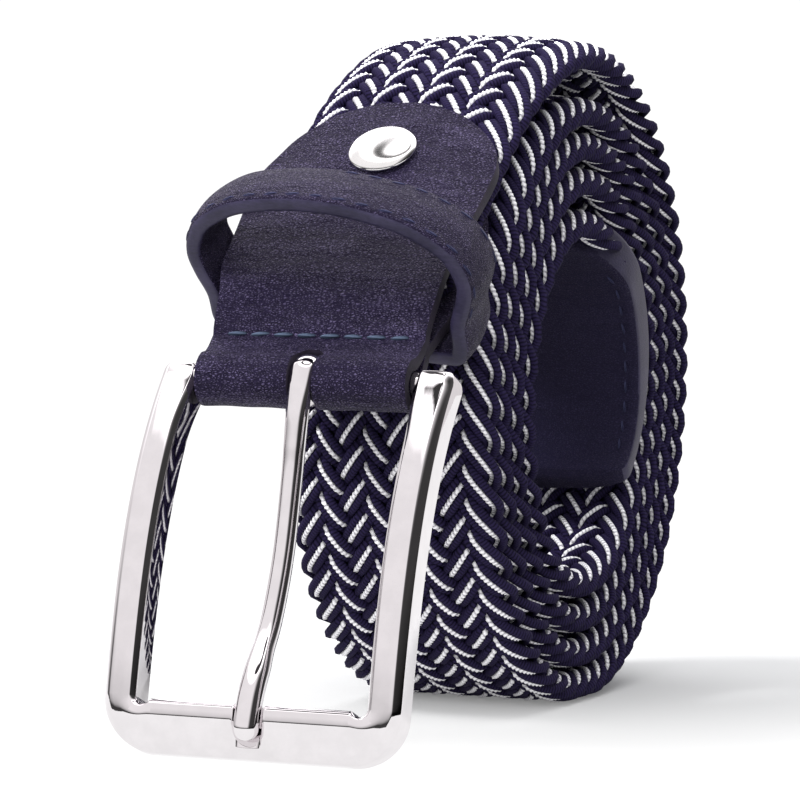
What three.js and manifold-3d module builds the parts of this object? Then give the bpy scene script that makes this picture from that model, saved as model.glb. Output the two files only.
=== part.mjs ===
// A stretch belt of braided elastic cord with leather ends and a pin buckle, rolled up and
// stood on its rim, with the buckle leaning on the ground in front. Millimetres, +Z up.
// The rolled band's axis runs along X. The buckle end is at -Y.
import * as THREE from "three";
import { mergeVertices } from "three/addons/utils/BufferGeometryUtils.js";
import Module from "manifold-3d";

// Band
const bandWidth = 35;
const bandThickness = 4.8;
const bandEdgeThickness = 2.4;
const bandEdgeRound = 1.7;
const turnGap = 0.95;
const fit = 0.3; // running gap between pieces that lie on each other

// Roll: a turn is counted from the front, over the top and down the back
const outerRadius = 51.5; // outer face of the first turn, where it meets the ground
const firstTurnSlack = 3.5;
const slackEndTurn = 0.75;
const leaveTurn = 50 / 360; // where the buckle end leaves the roll in a straight line
const lastTurn = 4.62;
const stepsPerTurn = 40;
const groundFlat = 0.5; // how far the weight flattens the rim
const cupHeight = 1.2; // how far the middle of the band stands out past its edges
const cupAtTab = 2.2;

// Leather
const leather = 1.8;
const strapAside = -1.1; // the buckle end hangs a little to the left
const tabWidth = 37.6;
const seamWidth = 35.2;
const foldWidth = 33.6;
const tabStart = 2.4; // distances from where the band leaves the roll
const tabRound = 15;
const backStart = 5; // the leaf behind the band
const backRound = 27;
const bandStart = 40.5;
const seamPlace = 54;
const barPlace = 61.2;
const slotGap = 0.6;

// Keeper loop: its sides bulge, its top is an arch, and it sits askew
const keeperLength = 11.4;
const keeperWall = 2.4;
const keeperHalfWidth = 24;
const keeperPeak = 19.2; // from the band's middle
const keeperDrop = 2.8; // how much lower its back rim is
const keeperUnderFront = 0.55; // how much higher it passes under its front rim
const keeperFront = 45.7;
const keeperLean = 0.185;
const keeperSkew = 0.14;
const keeperAside = -1;
const keeperBackAside = 0.6; // how much further right its back rim is

// Rivet
const rivetPlace = 14.2;
const rivetDiameter = 11;
const rivetDome = 1.6;
const rivetShank = 4;
const rivetBack = 9;

// Buckle
const barDiameter = 4;
const frameWidth = 46.6;
const frameLength = 57.7; // from the bar's middle to the end
const frameTop = 2;
const frameDepth = 4.3;
const sideBack = 3.7; // how far the side bars reach behind the bar's middle
const sideBar = 5.2;
const endBar = 7.4;
const frameCorner = 7.6;
const frameBow = 4.2;
const frameBowLean = 0.34; // more bow near the bar, less near the end
const frontBevel = 1.2;
const backBevel = 0.5;
const prongWidth = 3.7;
const prongReach = 55.8;
const prongEyeWall = 1.9;
const notchGap = 0.35;

// Tip
const tipStart = 4.27;
const tipWidth = 37.2;
const tipLeather = 1.3;
const tipDrop = 1.25; // how far the thick sleeve stands in from the roll
const tipCurl = 4.2;
const tipEndThickness = 4;
const tipPocketEnd = 4.42;

// The prong's middle line: shares of its reach from the bar, and its rise from the chord
const prongLine = [
  { along: 0.0, rise: 1.2 },
  { along: 0.12, rise: 0.3 },
  { along: 0.27, rise: -1.6 },
  { along: 0.48, rise: -2.3 },
  { along: 0.66, rise: -0.4 },
  { along: 0.78, rise: 1.7 },
  { along: 0.88, rise: 3.0 },
  { along: 1.0, rise: 3.0 },
];

// The keeper's outline from the middle of its bottom, up its right side: shares of its half
// width and of its height
const keeperLine = [
  { across: 0.0, up: 0.0 },
  { across: 0.35, up: 0.0 },
  { across: 0.74, up: 0.0 },
  { across: 0.85, up: 0.02 },
  { across: 0.9, up: 0.11 },
  { across: 0.91, up: 0.26 },
  { across: 0.97, up: 0.4 },
  { across: 1.0, up: 0.53 },
  { across: 0.96, up: 0.67 },
  { across: 0.86, up: 0.79 },
  { across: 0.62, up: 0.915 },
  { across: 0.3, up: 0.98 },
  { across: 0.0, up: 1.0 },
];

const wasm = await Module();
wasm.setup();

const pitch = bandThickness + turnGap;
const half = (value) => value / 2;
const smooth = (value) => THREE.MathUtils.smoothstep(value, 0, 1);
const mix = THREE.MathUtils.lerp;
const ground = groundFlat - outerRadius; // height of the ground below the roll's middle

// Middle of the band's thickness, measured from the middle of the roll.
function rollRadius(turn) {
  const steady = outerRadius - half(bandThickness) + pitch * (slackEndTurn - turn);
  const loose = THREE.MathUtils.clamp((turn - 0.2) / (slackEndTurn - 0.2), 0, 1);
  const slack = firstTurnSlack * Math.cos((loose * Math.PI) / 2) ** 2;
  const drop = tipDrop * smooth((turn - tipStart + 0.2) / 0.2);
  const curl = tipCurl * Math.max(0, (turn - tipStart) / (lastTurn - tipStart)) ** 2;
  return steady + slack - drop - curl;
}

function rollPoint(turn) {
  const angle = turn * 2 * Math.PI;
  const radius = rollRadius(turn);
  const point = new THREE.Vector2(-radius * Math.cos(angle), radius * Math.sin(angle));
  const lift = ground + half(bandThickness) - point.y;
  if (turn < 1.1 && lift > 0) {
    point.y += lift;
  }
  return point;
}

// A station of the strap: its point in the YZ plane, the way out of the roll and the cup.
function rollStation(turn) {
  const step = 0.002;
  const along = rollPoint(turn + step).sub(rollPoint(turn - step)).normalize();
  const fromGround = Math.abs(((((turn - 0.75) % 1) + 1.5) % 1) - 0.5) * 360;
  const cup = cupHeight * smooth((fromGround - 12) / 40);
  const nearTab = cupAtTab - cupHeight;
  const tab = nearTab * (1 - smooth((turn - leaveTurn) / 0.15));
  const aside = asideAt((leaveTurn - turn) * 2 * Math.PI * rollRadius(turn));
  return { at: rollPoint(turn), out: new THREE.Vector2(-along.y, along.x), cup: cup + tab, aside };
}

const leave = rollPoint(leaveTurn);
const leaveAngle = leaveTurn * 2 * Math.PI;
const straightAlong = new THREE.Vector2(-Math.sin(leaveAngle), -Math.cos(leaveAngle));
const straightOut = new THREE.Vector2(-Math.cos(leaveAngle), Math.sin(leaveAngle));

// A point beside the straight stretch, at a distance from the roll and a height from the
// band's middle.
function beside(distance, height) {
  return leave.clone().addScaledVector(straightAlong, distance).addScaledVector(straightOut, height);
}

function cupAlong(distance) {
  return cupAtTab * (1 - smooth((distance - tabStart) / (seamPlace - tabStart)));
}

function asideAt(distance) {
  return strapAside * smooth((distance + 18) / 26) * smooth((barPlace - distance) / 14);
}

function straightStation(distance) {
  const aside = asideAt(distance);
  return { at: beside(distance, 0), out: straightOut, cup: cupAlong(distance), aside };
}

// Closed meshes

// Joins rows of points into a closed body. Each row holds its outer side and its inner side,
// both from -X to +X. A loop joins its last row to its first and has no ends.
function loft(rows, isLoop = false) {
  const across = rows[0].outer.length;
  const positions = rows.flatMap((row) => [...row.outer, ...row.inner].flatMap((p) => p.toArray()));
  const index = [];
  const quad = (a, b, c, d) => index.push(a, b, c, a, c, d);
  const outer = (row, k) => (row % rows.length) * across * 2 + k;
  const inner = (row, k) => outer(row, k) + across;
  const last = rows.length - 1;
  for (let row = 0; row < (isLoop ? rows.length : last); row += 1) {
    for (let k = 0; k < across - 1; k += 1) {
      quad(outer(row, k), outer(row, k + 1), outer(row + 1, k + 1), outer(row + 1, k));
      quad(inner(row, k + 1), inner(row, k), inner(row + 1, k), inner(row + 1, k + 1));
    }
    quad(inner(row, 0), outer(row, 0), outer(row + 1, 0), inner(row + 1, 0));
    quad(outer(row, across - 1), inner(row, across - 1), inner(row + 1, across - 1), outer(row + 1, across - 1));
  }
  for (let k = 0; k < across - 1 && !isLoop; k += 1) {
    quad(outer(0, k), inner(0, k), inner(0, k + 1), outer(0, k + 1));
    quad(outer(last, k + 1), inner(last, k + 1), inner(last, k), outer(last, k));
  }
  const geometry = new THREE.BufferGeometry();
  geometry.setAttribute("position", new THREE.Float32BufferAttribute(positions, 3));
  geometry.setIndex(index);
  return facingOut(geometry);
}

function volumeOf(geometry) {
  const position = geometry.getAttribute("position");
  const index = geometry.getIndex().array;
  const [a, b, c] = [new THREE.Vector3(), new THREE.Vector3(), new THREE.Vector3()];
  let volume = 0;
  for (let i = 0; i < index.length; i += 3) {
    a.fromBufferAttribute(position, index[i]);
    b.fromBufferAttribute(position, index[i + 1]);
    c.fromBufferAttribute(position, index[i + 2]);
    volume += a.dot(b.cross(c)) / 6;
  }
  return volume;
}

function facingOut(geometry) {
  if (volumeOf(geometry) < 0) {
    const index = geometry.getIndex().array;
    for (let i = 0; i < index.length; i += 3) {
      [index[i + 1], index[i + 2]] = [index[i + 2], index[i + 1]];
    }
  }
  return geometry;
}

function toSolid(geometry) {
  const bare = geometry.clone();
  bare.deleteAttribute("normal");
  bare.deleteAttribute("uv");
  const merged = mergeVertices(bare, 1e-4);
  const vertProperties = new Float32Array(merged.getAttribute("position").array);
  const triVerts = new Uint32Array(merged.getIndex().array);
  return new wasm.Manifold(new wasm.Mesh({ numProp: 3, vertProperties, triVerts }));
}

function toGeometry(solid) {
  const mesh = solid.getMesh();
  const geometry = new THREE.BufferGeometry();
  geometry.setAttribute("position", new THREE.Float32BufferAttribute(mesh.vertProperties, 3));
  geometry.setIndex(Array.from(mesh.triVerts));
  return geometry;
}

function box(size, centre, turnX = 0) {
  const geometry = new THREE.BoxGeometry(size.x, size.y, size.z);
  geometry.rotateX(turnX);
  geometry.translate(centre.x, centre.y, centre.z);
  return toSolid(geometry);
}

// A round bar that runs along X.
function crossBar(radius, length, at, sides = 20) {
  const geometry = new THREE.CylinderGeometry(radius, radius, length, sides);
  geometry.rotateZ(Math.PI / 2);
  geometry.translate(0, at.x, at.y);
  return toSolid(geometry);
}

// Strips of band and leather

// One row of a strip: places across it as shares of its half width, thinner at its edges.
function stripRow(station, width, outerHeight, innerHeight, edgeShare = 1) {
  const edge = 1 - bandEdgeRound / half(bandWidth);
  const places = [-1, -edge, -0.5, 0, 0.5, edge, 1];
  const row = { outer: [], inner: [] };
  const middle = half(outerHeight + innerHeight);
  for (const place of places) {
    const thin = Math.abs(place) > edge ? edgeShare : 1;
    const rise = station.cup * Math.max(0, 1 - ((place * width) / bandWidth) ** 2);
    const at = (height) => {
      const up = middle + (height - middle) * thin + rise;
      const across = station.aside + place * half(width);
      return new THREE.Vector3(across, station.at.x + station.out.x * up, station.at.y + station.out.y * up);
    };
    row.outer.push(at(outerHeight));
    row.inner.push(at(innerHeight));
  }
  return row;
}

function steps(from, to, count) {
  return Array.from({ length: count + 1 }, (_, i) => mix(from, to, i / count));
}

function bandStations(firstDistance, endTurn) {
  const straight = steps(firstDistance, 2, 10).map(straightStation);
  const count = Math.round((endTurn - leaveTurn) * stepsPerTurn);
  return [...straight, ...steps(leaveTurn, endTurn, count).map(rollStation)];
}

function wovenBand(endTurn, grow = 0) {
  const height = half(bandThickness) + grow;
  const edgeShare = grow > 0 ? 1 : bandEdgeThickness / bandThickness;
  const stations = bandStations(bandStart + grow, endTurn);
  return loft(stations.map((s) => stripRow(s, bandWidth + 2 * grow, height, -height, edgeShare)));
}

// Half the width of a strip whose end is half an ellipse, at a distance from that end.
function roundedHalfWidth(distance, length, halfWidth) {
  const left = 1 - THREE.MathUtils.clamp(distance / length, 0, 1);
  return halfWidth * Math.sqrt(1 - left * left);
}

// The leather goes down the front of the band, round the bar and back up behind the band.
function chapeLine() {
  const leafHeight = half(bandThickness) + fit + half(leather);
  const seamHeight = half(fit) + half(leather);
  const foldRadius = half(barDiameter) + fit + half(leather);
  const turnIn = barPlace - foldRadius * 0.9;
  const front = [
    ...steps(tabStart + 0.25, tabStart + tabRound, 8).map((d) => ({ distance: d, height: leafHeight })),
    ...steps(24, bandStart, 4).map((d) => ({ distance: d, height: leafHeight })),
    ...steps(bandStart + 3.3, seamPlace, 3).map((d) => {
      const share = (d - bandStart) / (seamPlace - bandStart);
      return { distance: d, height: mix(leafHeight, seamHeight, smooth(share)) };
    }),
    { distance: half(seamPlace + turnIn) + 0.3, height: seamHeight + 0.25 },
  ];
  const fold = steps(145, -145, 16).map((angle) => ({
    distance: barPlace + foldRadius * Math.cos(THREE.MathUtils.degToRad(angle)),
    height: foldRadius * Math.sin(THREE.MathUtils.degToRad(angle)),
  }));
  const back = front.map((p) => ({ distance: p.distance, height: -p.height, isBack: true }));
  const round = steps(backStart + 0.25, 24, 8).map((d) => ({ distance: d, height: -leafHeight, isBack: true }));
  const kept = back.filter((p) => p.distance > 24.5);
  return [...front, ...fold, ...kept.reverse(), ...round.reverse()];
}

function chapeHalfWidth(distance, isBack) {
  const start = isBack ? backStart : tabStart;
  const end = roundedHalfWidth(distance - start, isBack ? backRound : tabRound, half(tabWidth));
  const waist = mix(half(tabWidth), half(seamWidth), smooth((distance - tabStart - tabRound) / 20));
  const narrow = smooth((distance - bandStart) / (barPlace - bandStart));
  return Math.min(end, mix(waist, half(foldWidth), narrow));
}

function chape() {
  const line = chapeLine();
  const points = line.map((p) => beside(p.distance, p.height));
  const rows = points.map((point, i) => {
    const before = points[Math.max(i - 1, 0)];
    const after = points[Math.min(i + 1, points.length - 1)];
    const along = after.clone().sub(before).normalize();
    const out = new THREE.Vector2(along.y, -along.x);
    const station = { at: point, out, cup: 0, aside: asideAt(line[i].distance) };
    const width = 2 * chapeHalfWidth(line[i].distance, line[i].isBack);
    const row = stripRow(station, width, half(leather), -half(leather));
    const lifted = (p) => {
      const across = (p.x - station.aside) / half(bandWidth);
      const rise = cupAlong(line[i].distance) * Math.max(0, 1 - across ** 2);
      return p.add(new THREE.Vector3(0, straightOut.x * rise, straightOut.y * rise));
    };
    return { outer: row.outer.map(lifted), inner: row.inner.map(lifted) };
  });
  const middle = beside(barPlace, 0);
  const slotLength = 2 * (half(barDiameter) + fit + prongEyeWall + slotGap);
  const slotSize = new THREE.Vector3(prongWidth + 2 * slotGap, slotLength, 40);
  const slot = box(slotSize, new THREE.Vector3(0, middle.x, middle.y), Math.PI / 2 - leaveAngle);
  const hole = rivetPin(half(rivetShank) + fit, 30);
  return toGeometry(toSolid(loft(rows)).subtract(slot).subtract(hole));
}

// A straight pin through the band at the rivet's place.
function rivetPin(radius, length) {
  const geometry = new THREE.CylinderGeometry(radius, radius, length, 16);
  return toSolid(placeRivet(geometry));
}

function placeRivet(geometry) {
  const at = beside(rivetPlace, 0);
  geometry.rotateX(Math.atan2(straightOut.y, straightOut.x));
  geometry.translate(asideAt(rivetPlace), at.x, at.y);
  return geometry;
}

function rivet() {
  const leafTop = half(bandThickness) + fit + leather;
  const top = leafTop + cupAlong(rivetPlace) + fit;
  const bottom = -leafTop + cupAlong(rivetPlace + half(rivetBack)) - fit;
  const backDome = half(rivetDome);
  const profile = [
    new THREE.Vector2(0, bottom - backDome),
    new THREE.Vector2(half(rivetBack) * 0.7, bottom - backDome * 0.8),
    new THREE.Vector2(half(rivetBack), bottom - 0.25),
    new THREE.Vector2(half(rivetBack), bottom),
    new THREE.Vector2(half(rivetShank), bottom),
    new THREE.Vector2(half(rivetShank), top),
    new THREE.Vector2(half(rivetDiameter), top),
    new THREE.Vector2(half(rivetDiameter) * 1.0, top + 0.35),
    new THREE.Vector2(half(rivetDiameter) * 0.88, top + rivetDome * 0.55),
    new THREE.Vector2(half(rivetDiameter) * 0.6, top + rivetDome * 0.85),
    new THREE.Vector2(half(rivetDiameter) * 0.3, top + rivetDome * 0.97),
    new THREE.Vector2(0, top + rivetDome),
  ];
  return toGeometry(toSolid(placeRivet(new THREE.LatheGeometry(profile, 28))));
}

// The keeper's outlines across the strap, outside and inside.
function keeperRim(halfWidth, bottom, peak) {
  const right = keeperLine.map((p) => new THREE.Vector3(p.across * halfWidth, mix(bottom, peak, p.up), 0));
  const left = right.slice(1, -1).reverse().map((p) => new THREE.Vector3(-p.x, p.y, 0));
  const curve = new THREE.CatmullRomCurve3([...right, ...left], true);
  const count = 64;
  const shares = steps(0, 1, count).slice(0, count);
  const outer = shares.map((share) => curve.getPoint(share));
  const inner = shares.map((share, i) => {
    const along = curve.getTangent(share);
    return new THREE.Vector3(outer[i].x - along.y * keeperWall, outer[i].y + along.x * keeperWall, 0);
  });
  return { outer, inner };
}

function keeperLoop() {
  const under = -(half(bandThickness) + 2 * fit + leather + keeperWall);
  const rims = [0, 0.5, 1].map((share) => {
    const back = keeperLength * (1 - share);
    const bottom = under + keeperUnderFront * share ** 2;
    const rim = keeperRim(keeperHalfWidth, bottom, keeperPeak - keeperDrop * (1 - share));
    const place = (p) => {
      const at = beside(keeperFront - back - keeperLean * p.y + keeperSkew * p.x, p.y);
      return new THREE.Vector3(p.x + keeperAside + keeperBackAside * (1 - share), at.x, at.y);
    };
    return { outer: rim.outer.map(place), inner: rim.inner.map(place) };
  });
  const rows = rims[0].outer.map((_, i) => ({
    outer: rims.map((rim) => rim.outer[i]),
    inner: rims.map((rim) => rim.inner[i]),
  }));
  return loft(rows, true);
}

// Buckle, in its own plane: across, down from the bar, and out towards the front

const barCentre = beside(barPlace, 0);

function bowAt(down) {
  const share = THREE.MathUtils.clamp(down / frameLength, 0, 1);
  return frameBow * 4 * share * (1 - share) * (1 + frameBowLean * (1 - 2 * share));
}

// The frame's lean puts its end on the ground.
function findLean() {
  const lowest = (lean) => {
    const reach = frameLength * Math.cos(lean);
    const back = half(frameDepth) * Math.sin(lean);
    return barCentre.y - reach + backBevel * Math.sin(lean) - back;
  };
  let [low, high] = [0, Math.PI / 4];
  for (let i = 0; i < 40; i += 1) {
    const middle = half(low + high);
    if (lowest(middle) < ground) {
      low = middle;
    } else {
      high = middle;
    }
  }
  return low;
}
const lean = findLean();

function fromBuckle(across, down, out) {
  const y = barCentre.x - down * Math.sin(lean) - out * Math.cos(lean);
  const z = barCentre.y - down * Math.cos(lean) + out * Math.sin(lean);
  return new THREE.Vector3(across, y, z);
}

// The U of the frame: each row holds the section of the bar from its inner to its outer side.
function buckleFrame() {
  const corner = half(frameWidth) - frameCorner;
  const turnDown = frameLength - frameCorner;
  const places = [
    ...steps(-frameTop, turnDown, 9).map((down) => ({ across: 1, down, angle: 0 })),
    ...steps(15, 75, 4).map((angle) => ({ corner: 1, angle })),
    ...steps(1, -1, 8).map((across) => ({ across: across, end: true, angle: 90 })),
    ...steps(75, 15, 4).map((angle) => ({ corner: -1, angle })),
    ...steps(turnDown, -frameTop, 9).map((down) => ({ across: -1, down, angle: 0 })),
  ];
  const rows = places.map((place) => {
    const turn = THREE.MathUtils.degToRad(place.angle);
    const width = mix(sideBar, endBar, smooth(place.angle / 90));
    const back = mix(sideBack, half(frameDepth), smooth(place.angle / 90));
    const at = (inward, out) => {
      let across;
      let down;
      if (place.end) {
        across = place.across * corner;
        down = frameLength - inward;
      } else if (place.corner) {
        across = place.corner * (corner + (frameCorner - inward) * Math.cos(turn));
        down = turnDown + (frameCorner - inward) * Math.sin(turn);
      } else {
        across = place.across * (half(frameWidth) - inward);
        down = place.down;
      }
      return fromBuckle(across, down, out + bowAt(down));
    };
    const front = half(frameDepth);
    return {
      outer: [at(0, -back + backBevel), at(0, front - frontBevel), at(frontBevel, front), at(width - frontBevel, front)],
      inner: [at(backBevel, -back), at(width - backBevel, -back), at(width, -back + backBevel), at(width, front - frontBevel)],
    };
  });
  const bar = crossBar(half(barDiameter), frameWidth - sideBar, barCentre);
  const notch = prongShaft(notchGap);
  return toGeometry(toSolid(loft(rows)).add(bar).subtract(notch));
}

function prongCurve() {
  const points = prongLine.map((p) => new THREE.Vector3(0, p.along * prongReach, p.rise));
  return new THREE.CatmullRomCurve3(points);
}

// The prong's shaft, rounded at its tip and grown by a gap where it cuts its own notch.
function prongShaft(grow) {
  const curve = prongCurve();
  const count = 22;
  const sides = 6;
  const rows = steps(0, 1, count).map((share) => {
    const point = curve.getPoint(share);
    const along = curve.getTangent(share);
    const fromTip = (1 - share) * prongReach;
    const tip = Math.sqrt(1 - (1 - Math.min(fromTip / half(prongWidth), 1)) ** 2);
    const radius = Math.max(half(prongWidth) * tip, 0.35) + grow;
    const end = share === 1 ? grow : 0;
    const ring = (angle) => {
      const across = radius * Math.cos(angle);
      const up = radius * Math.sin(angle);
      return fromBuckle(across, point.y - along.z * up + end, point.z + along.y * up);
    };
    const arc = (from, to) => steps(from, to, sides).map(ring);
    const skip = Math.PI / (2 * sides + 2);
    return { outer: arc(Math.PI - skip, skip), inner: arc(Math.PI + skip, 2 * Math.PI - skip) };
  });
  return toSolid(loft(rows));
}

function prong() {
  const hole = half(barDiameter) + fit;
  const eye = crossBar(hole + prongEyeWall, prongWidth, barCentre, 24);
  const bore = crossBar(hole, 2 * prongWidth, barCentre, 24);
  return toGeometry(prongShaft(0).add(eye).subtract(bore));
}

// The tip's leather sleeve: a thick mouth over the band, thin at its free end.
function tip() {
  const mouth = half(bandThickness) + fit + tipLeather;
  const count = 26;
  const length = (lastTurn - tipStart) * 2 * Math.PI * rollRadius(half(tipStart + lastTurn));
  const turns = steps(0, 1, count).map((share) => share ** 1.25);
  const rows = turns.map((share) => {
    const station = rollStation(mix(tipStart, lastTurn, share));
    const distance = share * length;
    const endRound = roundedHalfWidth(length - distance + 0.6, 2.5, half(tipWidth));
    const mouthRound = roundedHalfWidth(distance + 0.4, half(tipWidth), half(tipWidth));
    const height = mix(mouth, half(tipEndThickness), smooth((share - 0.48) / 0.45));
    const width = 2 * Math.min(endRound, mouthRound);
    return stripRow(station, width, height, -height);
  });
  return toGeometry(toSolid(loft(rows)).subtract(toSolid(wovenBand(tipPocketEnd + 0.01, fit))));
}

// Looks

const paint = (color, roughness, metalness) => new THREE.MeshStandardMaterial({ color, roughness, metalness });
const navyCord = paint(0x2b2a4c, 0.85, 0);
const navyLeather = paint(0x34335a, 0.5, 0);
const bright = paint(0xd9d8dc, 0.12, 1);

function piece(name, geometry, material) {
  geometry.computeVertexNormals();
  const mesh = new THREE.Mesh(geometry, material);
  mesh.name = name;
  return mesh;
}

const bandWithHole = toSolid(wovenBand(tipPocketEnd)).subtract(rivetPin(half(rivetShank) + fit, 30));

const belt = new THREE.Group();
belt.add(
  piece("woven_band", toGeometry(bandWithHole), navyCord),
  piece("chape", chape(), navyLeather),
  piece("keeper_loop", keeperLoop(), navyLeather),
  piece("tip", tip(), navyLeather),
  piece("rivet", rivet(), bright),
  piece("buckle_frame", buckleFrame(), bright),
  piece("prong", prong(), bright),
);

// The origin is on the ground under the middle of the whole belt.
const reach = new THREE.Box3().setFromObject(belt);
belt.position.set(0, -half(reach.min.y + reach.max.y), -reach.min.z);

export default belt;
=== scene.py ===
# A stretch belt of braided elastic cord with leather ends and a pin buckle, rolled up and stood
# on its rim. Lengths in the tables are millimetres, as in the part; meshes are in metres.
import math
import random
from bisect import bisect_left

import bmesh
import bpy
from mathutils import Matrix, Vector


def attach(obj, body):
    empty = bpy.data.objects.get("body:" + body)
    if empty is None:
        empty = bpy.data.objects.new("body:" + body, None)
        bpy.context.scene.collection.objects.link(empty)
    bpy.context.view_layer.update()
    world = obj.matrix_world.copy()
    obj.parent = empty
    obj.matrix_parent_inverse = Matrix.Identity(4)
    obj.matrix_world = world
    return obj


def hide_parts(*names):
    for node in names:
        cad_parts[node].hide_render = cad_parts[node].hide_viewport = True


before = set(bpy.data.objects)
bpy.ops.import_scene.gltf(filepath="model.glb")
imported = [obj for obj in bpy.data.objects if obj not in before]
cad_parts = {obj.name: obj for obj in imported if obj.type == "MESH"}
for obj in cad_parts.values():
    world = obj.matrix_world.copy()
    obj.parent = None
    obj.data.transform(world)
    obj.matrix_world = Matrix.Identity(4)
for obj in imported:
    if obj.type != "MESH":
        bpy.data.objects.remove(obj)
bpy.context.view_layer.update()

random.seed(11)

MM = 0.001

# Camera: where the photograph was taken from
CAMERA_PLACE = (0.2332, -0.6368, 0.0779)
CAMERA_RIGHT = Vector((0.93507, 0.35386, 0.02044))
CAMERA_UP = Vector((-0.03366, 0.03124, 0.99895))
CAMERA_LENS = 189.0

# The roll of band, as in the part
ROLL_Y, ROLL_Z = 25.3007, 51.0
BAND_WIDTH, BAND_THICKNESS = 35.0, 4.8
FIT = 0.3
PITCH = BAND_THICKNESS + 0.95
OUTER_RADIUS, FIRST_TURN_SLACK, SLACK_END_TURN = 51.5, 3.5, 0.75
LEAVE_TURN = 50 / 360
LAST_TURN, TIP_START, TIP_POCKET_END = 4.62, 4.27, 4.42
TIP_DROP, TIP_CURL = 1.25, 4.2
GROUND = 0.5 - OUTER_RADIUS
CUP, CUP_AT_TAB = 1.2, 2.2
STRAP_ASIDE = -1.1
TAB_START, SEAM_PLACE, BAR_PLACE, BAND_START = 2.4, 54.0, 61.2, 40.5


def smooth(value):
    value = min(max(value, 0.0), 1.0)
    return value * value * (3 - 2 * value)


def mix(a, b, share):
    return a + (b - a) * share


def roll_radius(turn):
    steady = OUTER_RADIUS - BAND_THICKNESS / 2 + PITCH * (SLACK_END_TURN - turn)
    loose = min(max((turn - 0.2) / (SLACK_END_TURN - 0.2), 0), 1)
    slack = FIRST_TURN_SLACK * math.cos(loose * math.pi / 2) ** 2
    drop = TIP_DROP * smooth((turn - TIP_START + 0.2) / 0.2)
    curl = TIP_CURL * max(0, (turn - TIP_START) / (LAST_TURN - TIP_START)) ** 2
    return steady + slack - drop - curl


def roll_point(turn):
    angle = turn * 2 * math.pi
    radius = roll_radius(turn)
    y, z = -radius * math.cos(angle), radius * math.sin(angle)
    lift = GROUND + BAND_THICKNESS / 2 - z
    if turn < 1.1 and lift > 0:
        z += lift
    return y, z


def aside_at(distance):
    return STRAP_ASIDE * smooth((distance + 18) / 26) * smooth((BAR_PLACE - distance) / 14)


def roll_station(turn):
    """Middle of the band, the way out of the roll, the cup and the sideways shift."""
    (y0, z0), (y1, z1) = roll_point(turn - 0.002), roll_point(turn + 0.002)
    along = Vector((y1 - y0, z1 - z0)).normalized()
    from_ground = abs((((turn - 0.75) % 1 + 1.5) % 1) - 0.5) * 360
    cup = CUP * smooth((from_ground - 12) / 40)
    tab = (CUP_AT_TAB - CUP) * (1 - smooth((turn - LEAVE_TURN) / 0.15))
    aside = aside_at((LEAVE_TURN - turn) * 2 * math.pi * roll_radius(turn))
    y, z = roll_point(turn)
    return (y + ROLL_Y, z + ROLL_Z, -along.y, along.x, cup + tab, aside)


LEAVE_ANGLE = LEAVE_TURN * 2 * math.pi
LEAVE_Y, LEAVE_Z = (a + b for a, b in zip(roll_point(LEAVE_TURN), (ROLL_Y, ROLL_Z)))
DOWN_Y, DOWN_Z = -math.sin(LEAVE_ANGLE), -math.cos(LEAVE_ANGLE)
OUT_Y, OUT_Z = -math.cos(LEAVE_ANGLE), math.sin(LEAVE_ANGLE)


def beside(distance, height):
    """A point beside the straight stretch, in the YZ plane."""
    return (LEAVE_Y + DOWN_Y * distance + OUT_Y * height, LEAVE_Z + DOWN_Z * distance + OUT_Z * height)


def cup_along(distance):
    return CUP_AT_TAB * (1 - smooth((distance - TAB_START) / (SEAM_PLACE - TAB_START)))


def straight_station(distance):
    y, z = beside(distance, 0)
    return (y, z, OUT_Y, OUT_Z, cup_along(distance), aside_at(distance))


# The strap's stations at even steps of its length, counted from where it leaves the roll
STEP = 0.5
STRAP_FIRST = -62.0


def measure_roll():
    turns, lengths = [LEAVE_TURN], [0.0]
    before = roll_point(LEAVE_TURN)
    while turns[-1] < LAST_TURN + 0.02:
        turn = turns[-1] + 1 / 1440
        point = roll_point(turn)
        lengths.append(lengths[-1] + math.hypot(point[0] - before[0], point[1] - before[1]))
        turns.append(turn)
        before = point
    return turns, lengths


TURNS, LENGTHS = measure_roll()


def turn_at(length):
    i = min(max(bisect_left(LENGTHS, length), 1), len(LENGTHS) - 1)
    share = (length - LENGTHS[i - 1]) / (LENGTHS[i] - LENGTHS[i - 1])
    return mix(TURNS[i - 1], TURNS[i], share)


def length_at(turn):
    return LENGTHS[min(bisect_left(TURNS, turn), len(TURNS) - 1)]


def lay_stations():
    table = []
    s = STRAP_FIRST
    while s < LENGTHS[-1] - 1:
        table.append(straight_station(-s) if s <= 0 else roll_station(turn_at(s)))
        s += STEP
    return table


STATIONS = lay_stations()


def on_strap(s, x, height):
    """A point at a length along the strap, a place across it and a height over its middle."""
    place = (s - STRAP_FIRST) / STEP
    i = min(max(int(place), 0), len(STATIONS) - 2)
    share = place - i
    y, z, out_y, out_z, cup, aside = (mix(a, b, share) for a, b in zip(STATIONS[i], STATIONS[i + 1]))
    up = height + cup * max(0, 1 - (x / (BAND_WIDTH / 2)) ** 2)
    return Vector((x + aside, y + out_y * up, z + out_z * up)) * MM


# Meshes


def make_piece(name, bm, materials, body, node, smooth_shading=True):
    """Turns a bmesh into a piece that rides on a body and stands for a node."""
    mesh = bpy.data.meshes.new(name)
    for face in bm.faces:
        face.smooth = smooth_shading
    bm.to_mesh(mesh)
    bm.free()
    piece = bpy.data.objects.new(name, mesh)
    bpy.context.scene.collection.objects.link(piece)
    for material in materials:
        mesh.materials.append(material)
    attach(piece, body)
    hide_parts(node)
    return piece


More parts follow.
